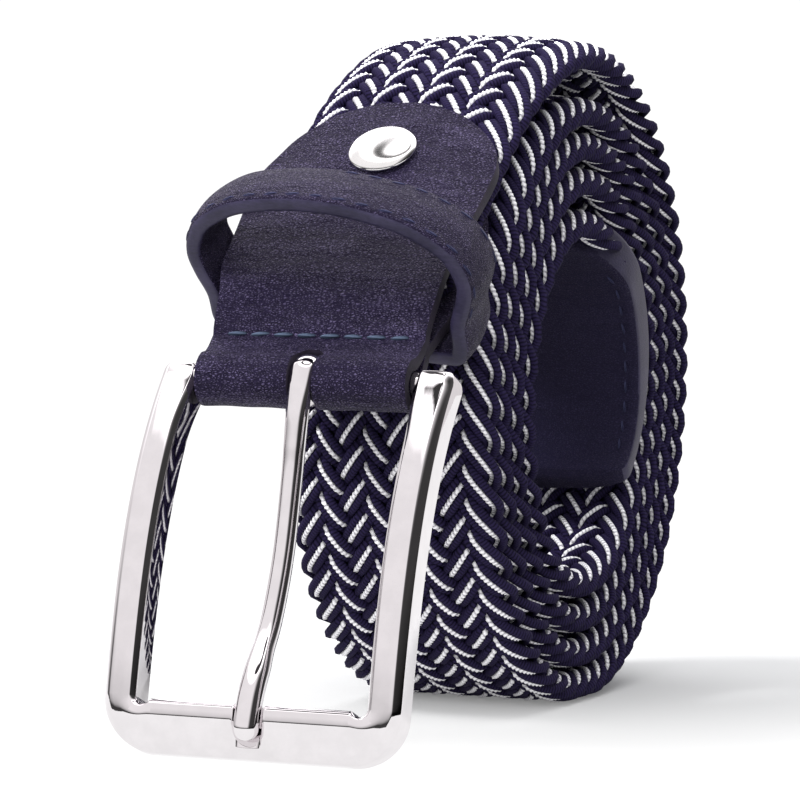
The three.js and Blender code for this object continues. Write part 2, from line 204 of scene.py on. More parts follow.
def grid(bm, columns, rows, place, close_columns=False, close_rows=False):
    """A sheet of columns by rows laid by place(u, v), both 0 to 1; it can close on itself."""
    if not bm.loops.layers.uv:
        bm.loops.layers.uv.new("UVMap")
    made = bmesh.ops.create_grid(bm, x_segments=columns, y_segments=rows, size=1, calc_uvs=True)["verts"]
    for vert in made:
        vert.co = place((vert.co.x + 1) / 2, (vert.co.y + 1) / 2)
    if close_columns or close_rows:
        bmesh.ops.remove_doubles(bm, verts=made, dist=1e-7)
    return [vert for vert in made if vert.is_valid]


def close_ends(bm, verts):
    edges = [e for e in {e for v in verts for e in v.link_edges} if e.is_boundary]
    bmesh.ops.holes_fill(bm, edges=edges, sides=400)


def face_outwards(bm):
    bmesh.ops.recalc_face_normals(bm, faces=bm.faces)


def add_modifier(piece, kind, **settings):
    modifier = piece.modifiers.new(kind.title(), kind)
    for key, value in settings.items():
        setattr(modifier, key, value)
    return modifier


def spline(points, share):
    """A smooth curve through evenly numbered points of any size."""
    place = share * (len(points) - 1)
    i = min(int(place), len(points) - 2)
    t = place - i
    a, b, c, d = (points[min(max(i + k, 0), len(points) - 1)] for k in (-1, 0, 1, 2))
    return [
        0.5 * (2 * q + (r - p) * t + (2 * p - 5 * q + 4 * r - w) * t * t + (3 * q - p - 3 * r + w) * t ** 3)
        for p, q, r, w in zip(a, b, c, d)
    ]


def smooth_line(points, step):
    """Even steps along a smooth curve through points."""
    fine = [spline(points, i / (len(points) * 24)) for i in range(len(points) * 24 + 1)]
    lengths = [0.0]
    for a, b in zip(fine, fine[1:]):
        lengths.append(lengths[-1] + math.dist(a[:2], b[:2]))
    count = max(2, round(lengths[-1] / step))
    line = []
    for k in range(count + 1):
        target = lengths[-1] * k / count
        i = min(max(bisect_left(lengths, target), 1), len(fine) - 1)
        share = (target - lengths[i - 1]) / max(lengths[i] - lengths[i - 1], 1e-9)
        line.append([mix(a, b, share) for a, b in zip(fine[i - 1], fine[i])])
    return line


# Materials


class Value:
    """A number that varies over a surface. Arithmetic on it adds Math nodes."""

    def __init__(self, finish, socket):
        self.finish, self.socket = finish, socket

    def math(self, operation, *others, clamp=False):
        inputs = dict(enumerate((self, *others)))
        settings = {"operation": operation, "use_clamp": clamp}
        return self.finish.node("ShaderNodeMath", settings, inputs)

    def __add__(self, other):
        return self.math("ADD", other)

    __radd__ = __add__

    def __mul__(self, other):
        return self.math("MULTIPLY", other)

    __rmul__ = __mul__

    def __sub__(self, other):
        return self.math("SUBTRACT", other)

    def __rsub__(self, other):
        return self.finish.node("ShaderNodeMath", {"operation": "SUBTRACT"}, {0: other, 1: self})


class Finish:
    """One material: a Principled shader and the pattern nodes that feed it."""

    def __init__(self, name, **constants):
        self.material = bpy.data.materials.new(name)
        self.material.use_nodes = True
        self.nodes = self.material.node_tree.nodes
        self.links = self.material.node_tree.links
        self.shader = self.nodes["Principled BSDF"]
        for socket, value in constants.items():
            self.shader.inputs[socket.replace("_", " ")].default_value = value

    def node(self, kind, settings=None, inputs=None, output=0):
        made = self.nodes.new(kind)
        for key, value in (settings or {}).items():
            if key == "stops":
                ramp = made.color_ramp
                while len(ramp.elements) < len(value):
                    ramp.elements.new(0.5)
                for element, (position, color) in zip(ramp.elements, value):
                    element.position, element.color = position, (*color, 1)
            else:
                setattr(made, key, value)
        for key, value in (inputs or {}).items():
            if isinstance(value, Value):
                self.links.new(value.socket, made.inputs[key])
            else:
                made.inputs[key].default_value = value
        return Value(self, made.outputs[output])

    def feed(self, socket, value):
        self.links.new(value.socket, self.shader.inputs[socket])

    def place(self):
        return self.node("ShaderNodeTexCoord", output="Object")

    def surface(self):
        return self.node("ShaderNodeUVMap", {"uv_map": "UVMap"})

    def mapped(self, vector, scale, turn=(0, 0, 0)):
        return self.node("ShaderNodeMapping", None, {"Vector": vector, "Scale": scale, "Rotation": turn})

    def noise(self, vector, scale, detail=3.0, roughness=0.55):
        return self.node("ShaderNodeTexNoise", None, {"Vector": vector, "Scale": scale, "Detail": detail, "Roughness": roughness})

    def cells(self, vector, scale, feature="F1"):
        return self.node("ShaderNodeTexVoronoi", {"feature": feature}, {"Vector": vector, "Scale": scale})

    def part(self, vector, axis):
        return self.node("ShaderNodeSeparateXYZ", None, {"Vector": vector}, axis)

    def blend(self, factor, low, high):
        inputs = {0: factor}
        for index, value in ((6, low), (7, high)):
            inputs[index] = value if isinstance(value, Value) else (*value, 1)
        return self.node("ShaderNodeMix", {"data_type": "RGBA"}, inputs, 2)

    def bump(self, height, distance, strength=1.0, under=None):
        inputs = {"Height": height, "Distance": distance, "Strength": strength}
        if under:
            inputs["Normal"] = under
        return self.node("ShaderNodeBump", None, inputs)


def step_up(value, low, high):
    """0 below low, 1 above high, smooth between."""
    return value.finish.node(
        "ShaderNodeMapRange", {"interpolation_type": "SMOOTHSTEP"},
        {"Value": value, "From Min": low, "From Max": high},
    )


def leather_finish(name, dark, light, grain=1.0, roughness=0.42, grain_size=0.52, stretch=(1.0, 1.6, 1.6)):
    """Pebbled calf leather: small glossy grains, finer pores and long soft creases, with painted glints on the grains
    and painted shade between them.
    """
    finish = Finish(name, Specular_IOR_Level=0.3, Specular_Tint=(0.74, 0.64, 1.0, 1.0))
    place = finish.place()
    bent = finish.node("ShaderNodeVectorMath", {"operation": "MULTIPLY_ADD"}, {
        0: finish.noise(place, 700.0, 3.0), 1: (0.0009, 0.0009, 0.0009), 2: finish.mapped(place, stretch),
    })
    pebbles = finish.cells(bent, 1 / (grain_size * MM), "DISTANCE_TO_EDGE")
    domes = step_up(pebbles, 0.02, 0.36)
    pores = finish.noise(finish.mapped(place, (1700.0, 4400.0, 3600.0), (0.3, 0.4, 0.8)), 1.0, 3.0, 0.65)
    folds = finish.noise(finish.mapped(place, (55.0, 300.0, 190.0), (0.5, 0.25, 0.5)), 1.0, 4.0, 0.55)
    clouds = finish.noise(place, 70.0, 3.0)
    creased = step_up(folds, 0.36, 0.64)
    # Lighter on the grain domes and darker in the valleys between them: painted glints and painted shade, mixed with
    # the random tone of pores, clouds and creases.
    tone_and_painted_light = step_up(domes * 0.4 + pores * 0.8 + clouds * 0.2 + creased * 0.12, 0.6, 1.08)
    finish.feed("Base Color", finish.blend(tone_and_painted_light, dark, light))
    finish.feed("Roughness", roughness + 0.28 * (1 - domes) + 0.1 * pores)
    creases = finish.bump(creased, 0.0016 * grain, 0.8)
    fine = finish.bump(domes * 0.6 + pores * 0.9, 0.0006 * grain, 1.0, creases)
    finish.feed("Normal", fine)
    return finish.material


def edge_finish(name, dark, light, roughness=0.42):
    """The cut edge of leather, painted and rubbed smooth."""
    finish = Finish(name, Specular_IOR_Level=0.4)
    place = finish.place()
    fibres = finish.noise(finish.mapped(place, (900.0, 2600.0, 2600.0)), 1.0, 3.0, 0.65)
    clouds = finish.noise(place, 160.0, 2.0)
    finish.feed("Base Color", finish.blend(step_up(fibres * 0.5 + clouds * 0.5, 0.3, 0.7), dark, light))
    finish.feed("Roughness", roughness + 0.2 * fibres)
    finish.feed("Normal", finish.bump(fibres, 0.00012, 0.7))
    return finish.material


def cord_finish(name, dark, light, length, twist, wrap, roughness, depth, fluff):
    """Twisted yarn along a cord: UV runs along it and round it. The grooves between the plies are darkened as painted
    shade.
    """
    finish = Finish(name, Specular_IOR_Level=0.08)
    surface = finish.surface()
    along = finish.part(surface, 0) * length
    around = finish.part(surface, 1)
    lay = (along * (1 / twist) + around * wrap).math("FRACT")
    strands = (lay * math.pi).math("SINE")
    place = finish.place()
    fibres = finish.noise(place, 2600.0, 4.0, 0.75)
    clouds = finish.noise(place, 150.0, 2.0)
    # Darker in the grooves between the plies: painted shade, mixed with the random tone of fibres and clouds.
    tone_and_painted_light = step_up(strands * 0.5 + fibres * 0.55 + clouds * 0.25, 0.25, 1.05)
    finish.feed("Base Color", finish.blend(tone_and_painted_light, dark, light))
    finish.feed("Roughness", roughness + 0.12 * fibres)
    rope = finish.bump(strands.math("POWER", 0.6), depth, 0.9)
    finish.feed("Normal", finish.bump(fibres, fluff, 0.9, rope))
    return finish.material


def metal_finish(name, color, roughness, scratch, pit):
    """Polished plating with a faint wave and hair scratches."""
    finish = Finish(name, Metallic=1.0)
    place = finish.place()
    hair = finish.noise(finish.mapped(place, (1400.0, 90.0, 240.0), (0.4, 0.1, 0.2)), 1.0, 4.0, 0.7)
    waves = finish.noise(place, 90.0, 1.0)
    smear = finish.noise(place, 320.0, 3.0)
    finish.feed("Base Color", finish.blend(step_up(smear, 0.3, 0.75), [c * 0.94 for c in color], color))
    finish.feed("Roughness", roughness + scratch * step_up(hair, 0.5, 0.8) + pit * step_up(smear, 0.5, 0.8))
    ripple = finish.bump(waves, 0.00006, 0.2)
    finish.feed("Normal", finish.bump(hair, 0.000004, 0.6, ripple))
    return finish.material


# NAVY_DARK, and the white yarn's dark colour in make_braid, are the painted shade in the grooves between the plies as
# well as the darker fibres.
NAVY_DARK, NAVY_LIGHT = (0.002, 0.0014, 0.0055), (0.021, 0.0155, 0.05)
# The light colours of these leathers are also the painted glints on the grain domes, the dark ones the painted shade
# between them.
leather = leather_finish("navy_pebbled_leather", (0.010, 0.0072, 0.023), (0.105, 0.086, 0.17), 1.0, 0.34)
keeper_leather = leather_finish("navy_keeper_leather", (0.0085, 0.0062, 0.02), (0.078, 0.064, 0.128), 0.8, 0.34, 0.5)
tip_leather = leather_finish("navy_smooth_leather", (0.008, 0.007, 0.019), (0.0165, 0.0145, 0.036), 0.25, 0.45, 0.5)
leather_edge = edge_finish("navy_edge_paint", (0.009, 0.0075, 0.024), (0.031, 0.0255, 0.061))
raw_edge = edge_finish("dark_raw_edge", (0.006, 0.0045, 0.011), (0.026, 0.019, 0.036), 0.7)
thread = cord_finish("blue_sewing_thread", (0.01, 0.015, 0.03), (0.07, 0.092, 0.14), 2.4, 0.55, 1.0, 0.5, 0.00008, 0.00002)
dark_thread = cord_finish("navy_sewing_thread", (0.006, 0.006, 0.018), (0.04, 0.042, 0.09), 2.4, 0.55, 1.0, 0.5, 0.00008, 0.00002)
chrome = metal_finish("polished_chrome", (0.83, 0.8, 0.815), 0.03, 0.04, 0.02)
nickel = metal_finish("polished_nickel", (0.92, 0.91, 0.9), 0.13, 0.05, 0.04)


# Braid: seventeen cords run from edge to edge and back, each over two and under two

CORDS = 17
REPEAT = 90.1  # length of strap that a cord takes to come back to the same edge
BRAID_HALF = 17.2
CORD_RISE = 1.42
EDGE_KNEE, EDGE_SOFT = 14.6, 2.2


def cord_place(t):
    """A cord's place across the strap and its rise at a share of its repeat."""
    phase = t % 1.0
    way = 1 if phase < 0.5 else -1
    unit = 2 * CORDS * (phase if way > 0 else 1 - phase)
    across = -BRAID_HALF + unit * 2 * BRAID_HALF / CORDS
    if abs(across) > EDGE_KNEE:
        over = EDGE_KNEE + EDGE_SOFT * math.tanh((abs(across) - EDGE_KNEE) / EDGE_SOFT)
        across = math.copysign(over, across)
    if unit < 1:
        wave = math.sin(math.pi / 4 * unit)
    elif unit > CORDS - 1:
        wave = math.sin(math.pi / 4 * (unit - CORDS))
    else:
        wave = math.sin(math.pi / 2 * (unit - 0.5))
    return across, way * math.tanh(1.9 * wave) / math.tanh(1.9)


def lay_cord(bm, number, first, last, segment, sides, aside, half_width, half_height, lift, beads):
    """One cord of the braid from one length of strap to another."""
    start = first / REPEAT - number / CORDS
    end = last / REPEAT - number / CORDS
    count = round((end - start) * REPEAT * 1.25 / segment)
    rings = []
    for i in range(count + 1):
        t = mix(start, end, i / count)
        s = t * REPEAT + number * REPEAT / CORDS
        ahead, behind = cord_place(t + 0.002), cord_place(t - 0.002)
        across, rise = cord_place(t)
        height = rise * (CORD_RISE + lift)
        along = Vector((ahead[0] - behind[0], 0.004 * REPEAT, (ahead[1] - behind[1]) * CORD_RISE)).normalized()
        left = Vector((-along.y, along.x, 0)).normalized()
        over = along.cross(left)
        swell = 1 + (beads if i % 2 else -beads)
        rings.append((Vector((across, s, height)) + left * aside, left * half_width * swell, over * half_height * swell))

    def place(u, v):
        middle, wide, high = rings[round(u * count)]
        angle = v * 2 * math.pi
        point = middle + wide * math.cos(angle) + high * math.sin(angle)
        return on_strap(point.y, point.x, point.z)

    verts = grid(bm, count, sides, place, close_rows=True)
    close_ends(bm, verts)


# Each cord is three yarns side by side: a white one between two navy ones
NAVY_ASIDE, NAVY_HALF_WIDTH, NAVY_HALF_HEIGHT = 0.98, 0.68, 0.88
WHITE_HALF_WIDTH, WHITE_HALF_HEIGHT, WHITE_LIFT = 0.43, 0.5, 0.46
BEAD = 0.72
FRONT_END = length_at(1.2)
BAND_FIRST, BAND_LAST = 1.0 - BAND_START, length_at(TIP_POCKET_END) - 1


def lay_yarns(name, material, numbers, run, segment, sides, aside, half_width, half_height, lift, beads=0.0):
    bm = bmesh.new()
    for number in numbers:
        lay_cord(bm, number, *run, segment, sides, aside, half_width, half_height, lift, beads)
    face_outwards(bm)
    make_piece(name, bm, [material], "strap", "woven_band")


def make_braid():
    for part, run in (("outer", (BAND_FIRST, FRONT_END)), ("inner", (FRONT_END, BAND_LAST))):
        outer = part == "outer"
        length = (run[1] - run[0]) * 1.26
        navy = cord_finish("navy_yarn_" + part, NAVY_DARK, NAVY_LIGHT, length, 0.5, 1.0, 0.8, 0.00008, 0.00007)
        white = cord_finish("white_yarn_" + part, (0.42, 0.4, 0.45), (0.97, 0.96, 0.98), length, BEAD, 1.0, 0.7, 0.0002, 0.00003)
        for side, label in ((-NAVY_ASIDE, "a"), (NAVY_ASIDE, "b")):
            lay_yarns(
                "navy_yarns_%s_%s" % (part, label), navy, range(CORDS), run, 1.1 if outer else 1.7, 6,
                side, NAVY_HALF_WIDTH, NAVY_HALF_HEIGHT, 0.0,
            )
        for numbers, label in ((range(0, CORDS, 2), "a"), (range(1, CORDS, 2), "b")):
            lay_yarns(
                "white_yarns_%s_%s" % (part, label), white, numbers, run, BEAD / 2 if outer else 1.2,
                5 if outer else 6, 0.0, WHITE_HALF_WIDTH, WHITE_HALF_HEIGHT, WHITE_LIFT, 0.2 if outer else 0.0,
            )


make_braid()


# Chape: down the front of the band, round the bar and back up behind it

LEATHER = 1.8
TAB_WIDTH, SEAM_WIDTH, FOLD_WIDTH = 37.6, 35.2, 33.6
TAB_ROUND, BACK_START, BACK_ROUND = 15.0, 5.0, 27.0
LEAF_HEIGHT = BAND_THICKNESS / 2 + FIT + LEATHER / 2
SEAM_HEIGHT = FIT / 2 + LEATHER / 2
FOLD_RADIUS = 2.0 + FIT + LEATHER / 2
SLOT_HALF, SLOT_LENGTH, SLOT_CORNER = 1.98, 4.3, 0.9
CHAPE_SEAM, CHAPE_FULLER = 52.9, 1.5


def chape_points():
    """The chape's middle line: distance down the strap, height over its middle, and which leaf."""
    front = [(TAB_START + 0.02 + 15 * (k / 9) ** 1.6, LEAF_HEIGHT) for k in range(10)]
    front += [(d, LEAF_HEIGHT) for d in (21, 25, 30, 36, 40.5)]
    front += [(d, mix(LEAF_HEIGHT, SEAM_HEIGHT, smooth((d - BAND_START) / 13.5))) for d in (43, 45.5, 48, 50.5, 53)]
    front += [(55.6, SEAM_HEIGHT + 0.12)]
    fold = []
    for k in range(17):
        angle = math.radians(mix(140, -140, k / 16))
        fold.append((BAR_PLACE + FOLD_RADIUS * math.cos(angle), FOLD_RADIUS * math.sin(angle)))
    back = [(d, -h) for d, h in reversed(front) if d > 33]
    back += [(BACK_START + 0.02 + 26 * (k / 9) ** 1.6, -LEAF_HEIGHT) for k in range(9, -1, -1)]
    return front + fold + back, len(front) + len(fold) // 2


def chape_half_width(distance, is_back):
    start, length = (BACK_START, BACK_ROUND) if is_back else (TAB_START, TAB_ROUND)
    left = 1 - min(max((distance - start) / length, 0), 1)
    end = TAB_WIDTH / 2 * math.sqrt(max(0, 1 - left * left))
    waist = mix(TAB_WIDTH / 2, SEAM_WIDTH / 2, smooth((distance - TAB_START - TAB_ROUND) / 20))
    narrow = smooth((distance - BAND_START) / (BAR_PLACE - BAND_START))
    return min(end, mix(waist, FOLD_WIDTH / 2, narrow))


def on_leather(distance, height, x):
    y, z = beside(distance, height)
    rise = cup_along(distance) * max(0, 1 - (x / (BAND_WIDTH / 2)) ** 2)
    return Vector((x + aside_at(distance), y + OUT_Y * rise, z + OUT_Z * rise)) * MM


def end_round_steps(points):
    """Closer steps where the leaf's end is round, so that its outline stays smooth."""
    line = smooth_line(points, 0.9)
    first, last = line[0], line[-1]
    start = [[first[0] + 2.2 * (k / 8) ** 2, first[1]] for k in range(8)]
    finish = [[last[0] + 2.2 * (k / 8) ** 2, last[1]] for k in range(7, -1, -1)]
    inner = [p for i, p in enumerate(line) if not (i < 20 and p[0] < first[0] + 2.2) and not (i > len(line) - 20 and p[0] < last[0] + 2.2)]
    return start + inner + finish


def make_chape():
    points, _ = chape_points()
    line = end_round_steps(points)
    lowest = max(range(len(line)), key=lambda i: line[i][0])
    rows = len(line) - 1

    def place(u, v):
        i = round(v * rows)
        distance, height = line[i]
        share = 2 * u - 1
        x = share * chape_half_width(distance, i > lowest)
        if share < 0:
            x += share * CHAPE_FULLER * smooth((distance - 12) / 10) * (1 - smooth((distance - 38) / 9))
        return on_leather(distance, height, x)

    bm = bmesh.new()
    grid(bm, 46, rows, place)
    for x in (-SLOT_HALF * MM, SLOT_HALF * MM):
        bmesh.ops.bisect_plane(bm, geom=bm.verts[:] + bm.edges[:] + bm.faces[:], plane_co=(x, 0, 0), plane_no=(1, 0, 0), dist=1e-7)
    slot_y, slot_z = beside(BAR_PLACE - SLOT_LENGTH, 0)
    down, straight_out = Vector((0, DOWN_Y, DOWN_Z)), Vector((0, OUT_Y, OUT_Z))
    leave_at = Vector((0, LEAVE_Y, LEAVE_Z)) * MM
    slot_at = Vector((0, slot_y, slot_z)) * MM
    bmesh.ops.bisect_plane(bm, geom=bm.verts[:] + bm.edges[:] + bm.faces[:], plane_co=slot_at, plane_no=down, dist=1e-7)
    corners = []
    for side in (-1, 1):
        start = slot_at + Vector((side * SLOT_CORNER * MM, 0, 0))
        away = Vector((side * 1.1, 0, 0)) - down * (SLOT_HALF - SLOT_CORNER)
        corners.append((start, away))
        bmesh.ops.bisect_plane(bm, geom=bm.verts[:] + bm.edges[:] + bm.faces[:], plane_co=start, plane_no=away, dist=1e-7)

    def in_slot(face):
        middle = face.calc_center_median()
        inside = abs(middle.x) < SLOT_HALF * MM and (middle - slot_at).dot(down) > 0
        return inside and all((middle - start).dot(away) < 0 for start, away in corners)

    cut = [face for face in bm.faces if in_slot(face)]
    bmesh.ops.delete(bm, geom=cut, context="FACES")
    bmesh.ops.dissolve_degenerate(bm, edges=bm.edges, dist=2e-6)
    for vert in bm.verts:
        down_strap = (vert.co - leave_at).dot(down) / MM
        groove = math.exp(-((down_strap - CHAPE_SEAM) / 1.1) ** 2)
        side = 1 if (vert.co - leave_at).dot(straight_out) > 0 else -1
        vert.co -= straight_out * (side * 0.00042 * groove)
        worn = math.sin(vert.co.x * 900 + vert.co.z * 260) + math.sin(vert.co.z * 700 - vert.co.x * 310)
        vert.co += Vector((0, OUT_Y, OUT_Z)) * (0.00006 * worn)
    piece = make_piece("chape_leather", bm, [leather, raw_edge], "strap", "chape")
    add_modifier(piece, "SOLIDIFY", thickness=LEATHER * MM, offset=0.0, use_even_offset=True, material_offset_rim=1)
    add_modifier(piece, "BEVEL", width=0.00042, segments=2, limit_method="ANGLE", angle_limit=math.radians(50))
    return piece


make_chape()


def stitch(bm, middle, along, out, length, thick):
    """One stitch: a plump short thread that dips into the leather at both ends."""
    side = along.cross(out).normalized()
    turned = Matrix((along.normalized(), side, out.normalized())).transposed().to_4x4()
    size = Matrix.Diagonal((length / 2, thick / 2, thick / 2, 1))
    matrix = Matrix.Translation(middle) @ turned @ size
    bmesh.ops.create_uvsphere(bm, u_segments=8, v_segments=6, radius=1, matrix=matrix @ Matrix.Rotation(math.pi / 2, 4, "Y"), calc_uvs=True)


def sew(name, points, outs, spacing, length, thick, material, body, node):
    """Stitches at even steps along a line of points."""
    lengths = [0.0]
    for a, b in zip(points, points[1:]):
        lengths.append(lengths[-1] + (b - a).length)
    bm = bmesh.new()
    bm.loops.layers.uv.new("UVMap")
    count = int(lengths[-1] / spacing)
    for k in range(count):
        target = (k + 0.5) * spacing + (lengths[-1] - count * spacing) / 2
        i = min(max(bisect_left(lengths, target), 1), len(points) - 1)
        share = (target - lengths[i - 1]) / (lengths[i] - lengths[i - 1])
        middle = points[i - 1].lerp(points[i], share)
        lean = Matrix.Rotation(math.radians(random.uniform(1, 10)), 3, outs[i])
        stitch(bm, middle, lean @ (points[i] - points[i - 1]), outs[i], length * random.uniform(0.93, 1.05), thick)
    return make_piece(name, bm, [material], body, node)


def chape_stitches():
    out = Vector((0, OUT_Y, OUT_Z))
    for side in (1, -1):
        points = []
        for k in range(60):
            share = mix(-1, 1, k / 59)
            distance = CHAPE_SEAM
            height = mix(LEAF_HEIGHT, SEAM_HEIGHT, smooth((distance - BAND_START) / 13.5)) + LEATHER / 2 - 0.2
            x = share * (chape_half_width(distance, False) - 1.4)
            points.append(on_leather(distance, side * height, x))
        name = "chape_stitches_front" if side > 0 else "chape_stitches_back"
        sew(name, points, [out * side] * 60, 3.75 * MM, 3.1 * MM, 0.74 * MM, thread, "strap", "chape")


chape_stitches()


# Keeper loop

KEEPER_LENGTH, KEEPER_WALL, KEEPER_HALF, KEEPER_PEAK = 11.4, 2.4, 24.0, 19.2
KEEPER_DROP, KEEPER_UNDER_FRONT, KEEPER_FRONT = 2.8, 0.55, 45.7
KEEPER_LEAN, KEEPER_SKEW, KEEPER_ASIDE, KEEPER_BACK_ASIDE = 0.185, 0.14, -1.0, 0.6
KEEPER_LINE = (
    (0.0, 0.0), (0.35, 0.0), (0.74, 0.0), (0.85, 0.02), (0.9, 0.11), (0.91, 0.26), (0.97, 0.4),
    (1.0, 0.53), (0.96, 0.67), (0.86, 0.79), (0.62, 0.915), (0.3, 0.98), (0.0, 1.0),
)
KEEPER_RING = KEEPER_LINE + tuple((-a, u) for a, u in KEEPER_LINE[-2:0:-1])


def keeper_outline(share, back):
    """A point of the keeper's outer outline and the way inwards, across and up."""
    bottom = -(BAND_THICKNESS / 2 + 2 * FIT + LEATHER + KEEPER_WALL) + KEEPER_UNDER_FRONT * (1 - back) ** 2
    peak = KEEPER_PEAK - KEEPER_DROP * back
    count = len(KEEPER_RING)

    def at(value):
        place = (value % 1.0) * count
        i = int(place)
        t = place - i
        p, q, r, w = (KEEPER_RING[(i + k) % count] for k in (-1, 0, 1, 2))
        across, up = (
            0.5 * (2 * b + (c - a) * t + (2 * a - 5 * b + 4 * c - d) * t * t + (3 * b - a - 3 * c + d) * t ** 3)
            for a, b, c, d in zip(p, q, r, w)
        )
        return Vector((across * KEEPER_HALF, mix(bottom, peak, up)))

    along = (at(share + 0.003) - at(share - 0.003)).normalized()
    return at(share), Vector((-along.y, along.x))


def keeper_point(share, from_back, depth):
    """A point of the keeper: share round it, millimetres from its back rim, depth inwards."""
    back = 1 - from_back / KEEPER_LENGTH
    outline, inward = keeper_outline(share, min(max(back, 0), 1))
    p = outline + inward * depth
    distance = KEEPER_FRONT - KEEPER_LENGTH * back - KEEPER_LEAN * p.y + KEEPER_SKEW * p.x
    y, z = beside(distance, p.y)
    return Vector((p.x + KEEPER_ASIDE + KEEPER_BACK_ASIDE * back, y, z)) * MM


def rounded_section(length, wall, radius, steps=4, flats=(10, 1, 8, 1)):
    """A closed round-cornered section: places along and inwards, starting at the outer back."""
    points = []
    corners = (
        (length - radius, radius, -90), (length - radius, wall - radius, 0),
        (radius, wall - radius, 90), (radius, radius, 180),
    )
    for number, (a, d, start) in enumerate(corners):
        for k in range(steps + 1):
            angle = math.radians(start + 90 * k / steps)
            points.append((a + radius * math.cos(angle), d + radius * math.sin(angle)))
        if number < 4:
            following = corners[(number + 1) % 4]
            end_angle = math.radians(following[2])
            target = (following[0] + radius * math.cos(end_angle), following[1] + radius * math.sin(end_angle))
            last = points[-1]
            extra = flats[(number + 1) % 4]
            for k in range(1, extra):
                points.append((mix(last[0], target[0], k / extra), mix(last[1], target[1], k / extra)))
    return points


def make_keeper():
    section = rounded_section(KEEPER_LENGTH, KEEPER_WALL, 0.75, 4, (12, 2, 8, 2))
    count = len(section)
    around = 220

    def place(u, v):
        i = round(v * count) % count
        from_back, depth = section[i]
        share = (round(u * around) % around) / around
        crown = 0.7 * math.sin(math.pi * from_back / KEEPER_LENGTH) ** 0.8 if depth < 0.4 else 0
        return keeper_point(share, from_back, depth - crown)

    bm = bmesh.new()
    grid(bm, around, count, place, True, True)
    face_outwards(bm)
    down = Vector((0, DOWN_Y, DOWN_Z))
    for face in bm.faces:
        facing = face.normal.dot(down)
        face.material_index = 1 if abs(facing) > 0.62 else 0
    make_piece("keeper_leather", bm, [keeper_leather, leather_edge], "strap", "keeper_loop")


make_keeper()


def keeper_stitches():
    rows = (("keeper_stitches_front", KEEPER_LENGTH - 1.25, 0.2, 0.8), ("keeper_stitches_back", 1.25, 0.26, 0.5))
    for name, from_back, first, last in rows:
        points, outs = [], []
        for k in range(120):
            share = mix(first, last, k / 119)
            on_face = keeper_point(share, from_back, -0.22)
            points.append(on_face)
            outs.append((on_face - keeper_point(share, from_back, 1.2)).normalized())
        sew(name, points, outs, 3.9 * MM, 2.3 * MM, 0.55 * MM, dark_thread, "strap", "keeper_loop")


keeper_stitches()


# Tip: a sleeve of leather over the band's end

TIP_WIDTH, TIP_LEATHER, TIP_END_THICKNESS, TIP_CORNER = 37.2, 1.3, 4.0, 2.4
TIP_FIRST, TIP_LAST = length_at(TIP_START), length_at(LAST_TURN)


def tip_shape(share):
    """Half the width and half the thickness of the sleeve at a share of its length."""
    length = TIP_LAST - TIP_FIRST
    distance = share * length

    def rounded(value, reach):
        left = 1 - min(max(value / reach, 0), 1)
        return TIP_WIDTH / 2 * math.sqrt(max(0, 1 - left * left))

    corner = max(0, 1 - (length - distance) / TIP_CORNER)
    end_width = TIP_WIDTH / 2 - TIP_CORNER * (1 - math.sqrt(1 - corner * corner))
    half_width = min(end_width, rounded(distance + 0.05, TIP_WIDTH / 2))
    mouth = BAND_THICKNESS / 2 + FIT + TIP_LEATHER
    return half_width, mix(mouth, TIP_END_THICKNESS / 2, smooth((share - 0.48) / 0.45))


def tip_point(share, place, height_share):
    half_width, half_height = tip_shape(share)
    return on_strap(TIP_FIRST + share * (TIP_LAST - TIP_FIRST), place * half_width, height_share * half_height)


def make_tip():
    sides = 60
    rows = 110
    corner = 0.34

    def place(u, v):
        share = min((round(v * rows) / rows) ** 1.35, 1)
        half_width, half_height = tip_shape(share)
        angle = 2 * math.pi * (round(u * sides) % sides) / sides
        power = 0.16
        wide = math.copysign(abs(math.cos(angle)) ** power, math.cos(angle))
        high = math.copysign(abs(math.sin(angle)) ** 0.22, math.sin(angle))
        seam = abs(wide) * half_width
        pinch = 0.18 * smooth((seam - half_width + 4.2) / 2.2) * (1 if half_width > 6 else 0)
        x = wide * half_width
        return on_strap(TIP_FIRST + share * (TIP_LAST - TIP_FIRST), x, high * max(half_height - pinch, corner))

    bm = bmesh.new()
    verts = grid(bm, sides, rows, place, close_columns=True)
    close_ends(bm, verts)
    face_outwards(bm)
    for face in bm.faces:
        face.material_index = 1 if abs(face.normal.x) > 0.75 else 0
    piece = make_piece("tip_leather", bm, [tip_leather, leather_edge], "strap", "tip")
    return piece


make_tip()


def tip_stitches():
    for side, name in ((-1, "tip_stitches_inside"), (1, "tip_stitches_outside")):
        for edge, label in ((1, "right"), (-1, "left")):
            points, outs = [], []
            for k in range(80):
                share = mix(0.2, 0.94, k / 79)
                half_width, half_height = tip_shape(share)
                s = TIP_FIRST + share * (TIP_LAST - TIP_FIRST)
                x = edge * (half_width - 2.4)
                top = on_strap(s, x, side * (half_height + 0.02))
                points.append(top)
                outs.append((top - on_strap(s, x, 0)).normalized())
            sew(name + "_" + label, points, outs, 3.4 * MM, 2.1 * MM, 0.42 * MM, dark_thread, "strap", "tip")


tip_stitches()


# Rivet: a domed cap on the tab and a flat one behind

RIVET_PLACE, RIVET_DIAMETER, RIVET_DOME, RIVET_BACK = 14.2, 11.0, 1.6, 9.0


